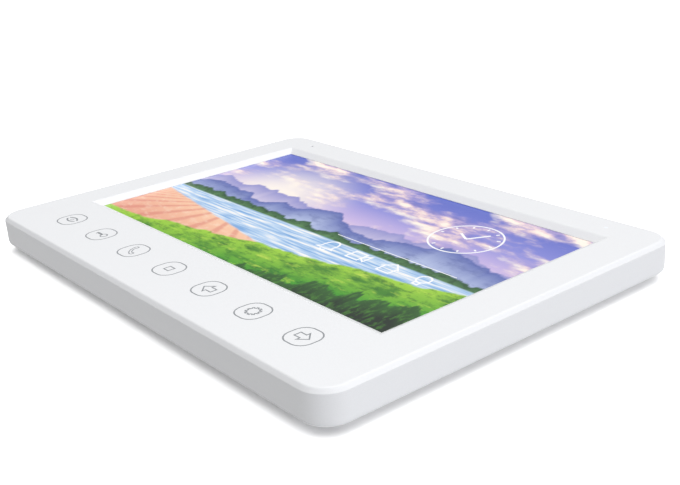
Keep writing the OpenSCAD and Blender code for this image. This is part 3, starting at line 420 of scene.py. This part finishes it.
def picture_film():
    """Polariser film with the picture lit from behind: clear colours under a blurred gloss."""
    material, tree = new_finish("polariser_film_matt_lit")
    place = add(tree, "TexCoord").outputs["Object"]
    in_heights = per_metre(film_h)
    laid = add(tree, "Mapping", {
        "Vector": place, "Scale": (in_heights, in_heights, 0),
        "Location": (film_w / film_h / 2, 0.5 - window_y / film_h, 0)}).outputs[0]
    parts = add(tree, "SeparateXYZ", {0: laid})
    u, v = parts.outputs[0], parts.outputs[1]

    far_hills = ridge(tree, u, v, base=0.59, slope=0, height=0.34, width=0.5, seed=3.7,
                      crest="#8f8fcb", foot="#d9cfe6", fade=0.16)
    near_hills = ridge(tree, u, v, base=0.52, slope=0.03, height=0.26, width=0.36, seed=11.3,
                       crest="#5a68b0", foot="#b3bfe2", fade=0.16)
    wood = ridge(tree, u, v, base=0.445, slope=0, height=0.09, width=0.1, seed=5.2,
                 crest="#24532f", foot="#5f8f58", fade=0.07)
    field = ridge(tree, u, v, base=0.34, slope=-0.16, height=0.05, width=0.7, seed=2.1,
                  crest="#f8c7a6", foot="#e39a84", fade=0.3)
    meadow = ridge(tree, u, v, base=0.02, slope=0.19, height=0.12, width=0.45, seed=7.7,
                   crest="#9fd03a", foot="#3f9a22", fade=0.2)
    tall_grass = ridge(tree, u, v, base=-0.2, slope=0.22, height=0.2, width=0.09, seed=19.4,
                       crest="#2c5f22", foot="#0d2412", fade=0.12)
    layers = [
        cloud_layer(tree, laid),
        sun_layer(tree, laid),
        far_hills,
        near_hills,
        patches(tree, laid, near_hills, stretch=(1, 2, 1), size=0.09, low=0.5, high=0.62,
                strength=0.35, hex_colour="#3c4a92"),
        wood,
        patches(tree, laid, wood, stretch=(1, 1, 1), size=0.03, low=0.5, high=0.6,
                strength=0.6, hex_colour="#153a22"),
        lake_layer(tree, laid, v),
        field,
        row_layer(tree, u, v, field),
        patches(tree, laid, field, stretch=(1, 1.6, 1), size=0.05, low=0.5, high=0.68,
                strength=0.5, hex_colour="#fbe0c8"),
        meadow,
        patches(tree, laid, meadow, stretch=(1, 2.4, 1), size=0.22, low=0.48, high=0.6,
                strength=0.8, hex_colour="#1f6f1d"),
        patches(tree, laid, meadow, stretch=(1, 1.4, 1), size=0.045, low=0.52, high=0.64,
                strength=0.5, hex_colour="#145218"),
        patches(tree, laid, meadow, stretch=(1, 3, 1), size=0.12, low=0.56, high=0.7,
                strength=0.7, hex_colour="#c9e455"),
        tall_grass,
        patches(tree, laid, tall_grass, stretch=(2.5, 1, 1), size=0.05, low=0.5, high=0.62,
                strength=0.6, hex_colour="#4b8a2a"),
    ]
    # The bare evening sky, then each layer over what is there
    view = add(tree, "ValToRGB", {"Fac": v}, ramp=[
        (0.45, "#f0d9d6"), (0.58, "#c9b6e2"), (0.75, "#8689d6"), (1, "#4f60c0")]).outputs[0]
    for cover, colour in layers:
        view = add(tree, "Mix", {0: cover, 6: view, 7: colour}, data_type="RGBA").outputs[2]

    lit_film = add(tree, "BsdfPrincipled", {
        "Base Color": linear("#08090a"), "Roughness": 0.32, "IOR": 1.5,
        "Emission Color": view, "Emission Strength": 1})
    add(tree, "OutputMaterial", {"Surface": lit_film.outputs[0]})
    return material


def screen_white():
    """White of the screen itself: clear and even, with a faint pixel haze."""
    material, tree = new_finish("polariser_film_matt_white")
    lit_film = add(tree, "BsdfPrincipled", {
        "Base Color": linear("#08090a"), "Roughness": 0.32, "IOR": 1.5,
        "Emission Color": hazed_white(tree, haze_mm=0.5, dark="#f6f7fb", light="#ffffff"),
        "Emission Strength": 1})
    add(tree, "OutputMaterial", {"Surface": lit_film.outputs[0]})
    return material


# Mesh pieces

# Least cosine of half a corner's turn, so that the mitre of a sharp corner stays short
MITRE_LIMIT = 0.4


def piece(name, fill, material):
    """Makes a piece of the monitor from what fill draws, in millimetres."""
    bm = bmesh.new()
    fill(bm)
    bmesh.ops.recalc_face_normals(bm, faces=bm.faces)
    bmesh.ops.scale(bm, vec=(MM, MM, MM), verts=bm.verts)
    mesh = bpy.data.meshes.new(name)
    bm.to_mesh(mesh)
    bm.free()
    mesh.materials.append(material)
    made = bpy.data.objects.new(name, mesh)
    scene.collection.objects.link(made)
    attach(made, "monitor")


def plate(bm, outline, z0, z1):
    """Flat plate with this outline."""
    low = [bm.verts.new((x, y, z0)) for x, y in outline]
    high = [bm.verts.new((x, y, z1)) for x, y in outline]
    bm.faces.new(low)
    bm.faces.new(high)
    for i in range(len(outline)):
        bm.faces.new((low[i - 1], low[i], high[i], high[i - 1]))


def line(bm, points, width, z0, z1, closed=False):
    """Printed line of even width through these points, with mitred corners."""
    points = [Vector(p) for p in points]
    n = len(points)
    sections = []
    for i, p in enumerate(points):
        before = points[i - 1] if closed or i else p
        after = points[(i + 1) % n] if closed or i + 1 < n else p
        way_in = (p - before).normalized() if p != before else (after - p).normalized()
        way_out = (after - p).normalized() if p != after else way_in
        side_in = Vector((-way_in.y, way_in.x))
        mitre = (side_in + Vector((-way_out.y, way_out.x))).normalized()
        offset = mitre * width / 2 / max(mitre.dot(side_in), MITRE_LIMIT)
        corners = ((1, z0), (-1, z0), (-1, z1), (1, z1))
        sections.append([bm.verts.new((*(p + offset * s), z)) for s, z in corners])
    for i in range(n if closed else n - 1):
        a, b = sections[i], sections[(i + 1) % n]
        for k in range(4):
            bm.faces.new((a[k], a[k - 1], b[k - 1], b[k]))
    if not closed:
        bm.faces.new(sections[0])
        bm.faces.new(reversed(sections[-1]))


def arc(cx, cy, rx, ry, start, end, steps):
    """Points of an elliptic arc, both ends included; angles in degrees."""
    turns = [math.radians(start + (end - start) * i / steps) for i in range(steps + 1)]
    return [(cx + rx * math.cos(t), cy + ry * math.sin(t)) for t in turns]


def ring(cx, cy, r, steps):
    """Points of a circle."""
    return arc(cx, cy, r, r, 0, 360, steps)[:-1]


def moved(points, dx, dy, turn=0, size=1):
    """Points scaled, turned by this many degrees and then shifted."""
    c, s = math.cos(math.radians(turn)) * size, math.sin(math.radians(turn)) * size
    return [(dx + x * c - y * s, dy + x * s + y * c) for x, y in points]


# Key icons: ink lines that stand a hair above the face
INK_T = 0.02
INK_LINE = 0.42
FINE_LINE = 0.18
SLIM_LINE = 0.34
LID_LINE = 0.6
BOLD_LINE = 0.9
key_y = (keys_low[1] + keys_high[1]) / 2
key_size = keys_high[1] - keys_low[1]
key_reach = (keys_high[0] - keys_low[0] - key_size) / 2

ARROW = [(2.5, 0), (0, 2.25), (0, 1.1), (-2.45, 1.1), (-2.45, -1.1), (0, -1.1), (0, -2.25)]
SQUARE = [(-1.3, -1.2), (1.3, -1.2), (1.3, 1.2), (-1.3, 1.2)]
GEAR_TEETH = 10
GEAR_TIP_R = 2.3
GEAR_ROOT_R = 1.8
GEAR_TIP_SHARE = 0.18
GEAR_ROOT_SHARE = 0.3
EYE_W = 6
EYE_H = 3
LID_SHARE = 0.85
LID_STEPS = 14
IRIS_R = 0.55
IRIS_STEPS = 16
KEY_BOW_X = 1.7
KEY_BOW_R = 1.2
KEY_BOW_STEPS = 24
KEY_TIP_X = -2.7
KEY_BIT_X = -2.3
KEY_BIT_L = 0.85
HANDSET_AT = (-0.5, -0.35)
HANDSET_TURN = 131
HANDSET_R = 5
HANDSET_GRIP = 0.9
HANDSET_END_R = 0.7
# Angles along the handset's bow: to the middle of an end, from there to its neck, and its hooked lip
HANDSET_REACH = 34
HANDSET_NECK = 12
HANDSET_LIP = 10
HANDSET_SPINE_STEPS = 12
HANDSET_GRIP_STEPS = 8
HANDSET_END_STEPS = 9


def gear_outline():
    """Closed outline of a gear with straight sided teeth."""
    points = []
    for i in range(GEAR_TEETH):
        for share, r in ((-GEAR_ROOT_SHARE, GEAR_ROOT_R), (-GEAR_TIP_SHARE, GEAR_TIP_R),
                         (GEAR_TIP_SHARE, GEAR_TIP_R), (GEAR_ROOT_SHARE, GEAR_ROOT_R)):
            turn = math.radians((i + share) * 360 / GEAR_TEETH)
            points.append((r * math.cos(turn), r * math.sin(turn)))
    return points


def handset_outline():
    """Closed outline of a bow shaped handset with round ends, its back along the top."""
    end_r = HANDSET_R - HANDSET_END_R
    grip_r = HANDSET_R - HANDSET_GRIP
    end_turn = 90 - HANDSET_REACH
    end_x, end_y = arc(0, -end_r, end_r, end_r, end_turn, 90, 1)[0]
    spine = arc(0, -end_r, HANDSET_R, HANDSET_R, 90 + HANDSET_REACH, end_turn, HANDSET_SPINE_STEPS)
    right_end = arc(end_x, end_y, HANDSET_END_R, HANDSET_END_R,
                    end_turn - HANDSET_NECK, end_turn - 180 + HANDSET_LIP, HANDSET_END_STEPS)
    grip = arc(0, -end_r, grip_r, grip_r,
               end_turn + HANDSET_NECK, 90 + HANDSET_REACH - HANDSET_NECK, HANDSET_GRIP_STEPS)
    left_end = [(-x, y) for x, y in reversed(right_end)]
    return spine + right_end + grip + left_end


def eye_lid():
    """Upper lid, which stops short of the corners of the eye."""
    r = (EYE_W ** 2 / 4 + EYE_H ** 2 / 4) / EYE_H
    reach = math.degrees(math.asin(EYE_W / 2 / r)) * LID_SHARE
    return arc(0, EYE_H / 2 - r, r, r, 90 + reach, 90 - reach, LID_STEPS)


# Each icon is a list of strokes: points, whether the stroke is closed, and its width
KEY_ICONS = [
    ("eye", [(eye_lid(), False, LID_LINE), (moved(eye_lid(), 0, 0, turn=180), False, LID_LINE),
             (ring(0, 0, IRIS_R, IRIS_STEPS), True, FINE_LINE)]),
    ("unlock", [(ring(KEY_BOW_X, 0, KEY_BOW_R, KEY_BOW_STEPS), True, INK_LINE),
                ([(KEY_BOW_X - KEY_BOW_R, 0), (KEY_TIP_X, 0)], False, BOLD_LINE),
                ([(KEY_BIT_X, 0), (KEY_BIT_X, -KEY_BIT_L)], False, INK_LINE)]),
    ("talk", [(moved(handset_outline(), *HANDSET_AT, HANDSET_TURN), True, SLIM_LINE)]),
    ("stop", [(SQUARE, True, INK_LINE)]),
    ("left", [([(-x, y) for x, y in ARROW], True, INK_LINE)]),
    ("settings", [(gear_outline(), True, INK_LINE)]),
    ("right", [(ARROW, True, INK_LINE)]),
]


def key_icon(index, strokes):
    """Function that draws one icon in the middle of its key."""
    key_x = key_reach * (2 * index / (len(KEY_ICONS) - 1) - 1)

    def fill(bm):
        for points, closed, width in strokes:
            line(bm, moved(points, key_x, key_y), width, face_z, face_z + INK_T, closed)
    return fill


for index, (name, strokes) in enumerate(KEY_ICONS):
    piece("key_icon_" + name, key_icon(index, strokes), finishes["key_paint"])

# Screen: the picture film and the white signs on it
FILM_CORNER = 0.4
SIGN_T = 0.02
SIGN_LINE = 0.6
SIGN_SIZE = 1.25
DIAL_AT = (46, 28)
DIAL_R = 12
DIAL_STEPS = 64
HOURS = 12
HOUR_FROM_R, HOUR_TO_R = 9.8, 11
# Turn and length of each hand of the dial
HANDS = [(60, 8), (150, 5.5)]
HAND_LINE = 0.84
TRAY_X = 18
TRAY_Y = -4
TRAY_PITCH = 14
RULE_LIFT = 8
RULE_OVER = 6
RULE_LINE = 0.3

# Each sign is a list of strokes: points, and whether the stroke is closed
SIGNS = [
    # Bell with its clapper
    [(arc(0, 0.3, 2.1, 2.4, 180, 0, 12) + [(2.1, -1.4), (2.9, -2.1), (-2.9, -2.1), (-2.1, -1.4)], True),
     (arc(0, -2.5, 0.8, 0.7, 180, 360, 6), False)],
    # Video camera
    [([(-3, -1.9), (1.3, -1.9), (1.3, 1.9), (-3, 1.9)], True),
     ([(1.3, 0.5), (3.2, 1.7), (3.2, -1.7), (1.3, -0.5)], False)],
    # House
    [([(-3, 0), (0, 2.7), (3, 0)], False),
     ([(-2.1, 0.5), (-2.1, -2.4), (2.1, -2.4), (2.1, 0.5)], False)],
    # Light bulb
    [(ring(0, 0.7, 1.9, 24), True),
     ([(-0.8, -1.2), (-0.8, -2.4), (0.8, -2.4), (0.8, -1.2)], False)],
]


def film(bm):
    """Picture film on the glass, with its corners cut off."""
    x, y = film_w / 2, film_h / 2
    inner_x, inner_y = x - FILM_CORNER, y - FILM_CORNER
    outline = [(-inner_x, -y), (inner_x, -y), (x, -inner_y), (x, inner_y),
               (inner_x, y), (-inner_x, y), (-x, inner_y), (-x, -inner_y)]
    plate(bm, moved(outline, 0, window_y), glass_z, glass_z + FILM_T)


def signs(bm):
    """Clock dial, and a row of signs under a thin rule."""
    z0 = glass_z + FILM_T
    z1 = z0 + SIGN_T
    line(bm, ring(*DIAL_AT, DIAL_R, DIAL_STEPS), SIGN_LINE, z0, z1, True)
    for hour in range(HOURS):
        mark = [(HOUR_FROM_R, 0), (HOUR_TO_R, 0)]
        line(bm, moved(mark, *DIAL_AT, hour * 360 / HOURS), SIGN_LINE, z0, z1)
    for turn, length in HANDS:
        line(bm, moved([(0, 0), (length, 0)], *DIAL_AT, turn), HAND_LINE, z0, z1)
    rule_y = TRAY_Y + RULE_LIFT
    rule_end = TRAY_X + (len(SIGNS) - 1) * TRAY_PITCH + RULE_OVER
    line(bm, [(TRAY_X - RULE_OVER, rule_y), (rule_end, rule_y)], RULE_LINE, z0, z1)
    for i, strokes in enumerate(SIGNS):
        for points, closed in strokes:
            drawn = moved(points, TRAY_X + i * TRAY_PITCH, TRAY_Y, size=SIGN_SIZE)
            line(bm, drawn, SIGN_LINE, z0, z1, closed)


piece("screen_picture", film, picture_film())
piece("screen_signs", signs, screen_white())

# Studio: a lit white table under one very wide lamp, with a second, cooler one low on the right
FLOOR_SIZE = 6000
FLOOR_DROP = 0.05
FLOOR_HAZE = 20
FLOOR_GLOW = 0.17
FLOOR_BODY = "#afafaf"
FLOOR_BOUNCE = "#e9e9e9"
FLOOR_LIGHT = 0.98
# Each lamp: the way to its middle, its strength there, how fast it falls off around that, and its colour
LAMPS = [((0, 0.17, 1), 2.62, 2.8, "#ffffff"), ((1, 0.12, 0), 6, 16, "#f6f8ff")]
BACKDROP_STRENGTH = 1


def lit_table():
    """Opal acrylic sheet lit from below: even white, and clear for a look from underneath."""
    material, tree = new_finish("acrylic_opal_lit")
    opal = add(tree, "BsdfPrincipled", {
        "Base Color": hazed_white(tree, haze_mm=FLOOR_HAZE, dark="#f8f8f8", light="#fafafa"),
        "Roughness": 0.9, "IOR": 1.49, "Specular IOR Level": 0,
        "Emission Color": linear("#ffffff"), "Emission Strength": FLOOR_GLOW})
    # Both the skin and the milky body under it scatter light, so the table burns out close to the shadow
    body = add(tree, "BsdfDiffuse", {"Color": linear(FLOOR_BODY)})
    sheet = add(tree, "AddShader", {0: opal.outputs[0], 1: body.outputs[0]})
    # The sheet lights what is in view evenly, also close above it, and later bounces meet a plain sheet
    even = add(tree, "Emission", {"Color": linear(FLOOR_BOUNCE), "Strength": FLOOR_LIGHT})
    bounce = add(tree, "BsdfDiffuse", {"Color": linear(FLOOR_BOUNCE)})
    clear = add(tree, "BsdfTransparent")
    path = add(tree, "LightPath").outputs
    later = add(tree, "Math", {0: path["Ray Depth"], 1: 1}, operation="GREATER_THAN").outputs[0]
    onward = add(tree, "MixShader", {0: later, 1: even.outputs[0], 2: bounce.outputs[0]})
    upper = add(tree, "MixShader", {
        0: path["Is Camera Ray"], 1: onward.outputs[0], 2: sheet.outputs[0]})
    underneath = add(tree, "NewGeometry").outputs["Backfacing"]
    table = add(tree, "MixShader", {0: underneath, 1: upper.outputs[0], 2: clear.outputs[0]})
    add(tree, "OutputMaterial", {"Surface": table.outputs[0]})
    material.cycles.emission_sampling = "NONE"
    return material


floor_mesh = bpy.data.meshes.new("floor")
half = FLOOR_SIZE / 2 * MM
floor_corners = [(x * half, y * half, -FLOOR_DROP * MM) for x, y in ((-1, -1), (1, -1), (1, 1), (-1, 1))]
floor_mesh.from_pydata(floor_corners, [], [(0, 1, 2, 3)])
floor = bpy.data.objects.new("floor", floor_mesh)
scene.collection.objects.link(floor)
floor_mesh.materials.append(lit_table())

room = bpy.data.worlds.new("room")
room.use_nodes = True
room_tree = room.node_tree
room_tree.nodes.clear()
way = add(room_tree, "TexCoord").outputs["Generated"]
# Starts dark, and each lamp is added to it
lamp_sky = add(room_tree, "Background", {"Strength": 0})
for lamp_way, strength, narrowing, lamp_colour in LAMPS:
    facing = add(room_tree, "VectorMath", {0: way, 1: Vector(lamp_way).normalized()},
                 operation="DOT_PRODUCT").outputs["Value"]
    above = add(room_tree, "Math", {0: facing, 1: 0}, operation="MAXIMUM").outputs[0]
    spread = add(room_tree, "Math", {0: above, 1: narrowing}, operation="POWER").outputs[0]
    light = add(room_tree, "Math", {0: spread, 1: strength}, operation="MULTIPLY").outputs[0]
    lamp = add(room_tree, "Background", {"Color": linear(lamp_colour), "Strength": light})
    lamp_sky = add(room_tree, "AddShader", {0: lamp_sky.outputs[0], 1: lamp.outputs[0]})
backdrop = add(room_tree, "Background", {"Color": linear("#ffffff"), "Strength": BACKDROP_STRENGTH})
seen = add(room_tree, "LightPath").outputs["Is Camera Ray"]
sky = add(room_tree, "MixShader", {0: seen, 1: lamp_sky.outputs[0], 2: backdrop.outputs[0]})
add(room_tree, "OutputWorld", {"Surface": sky.outputs[0]})
scene.world = room
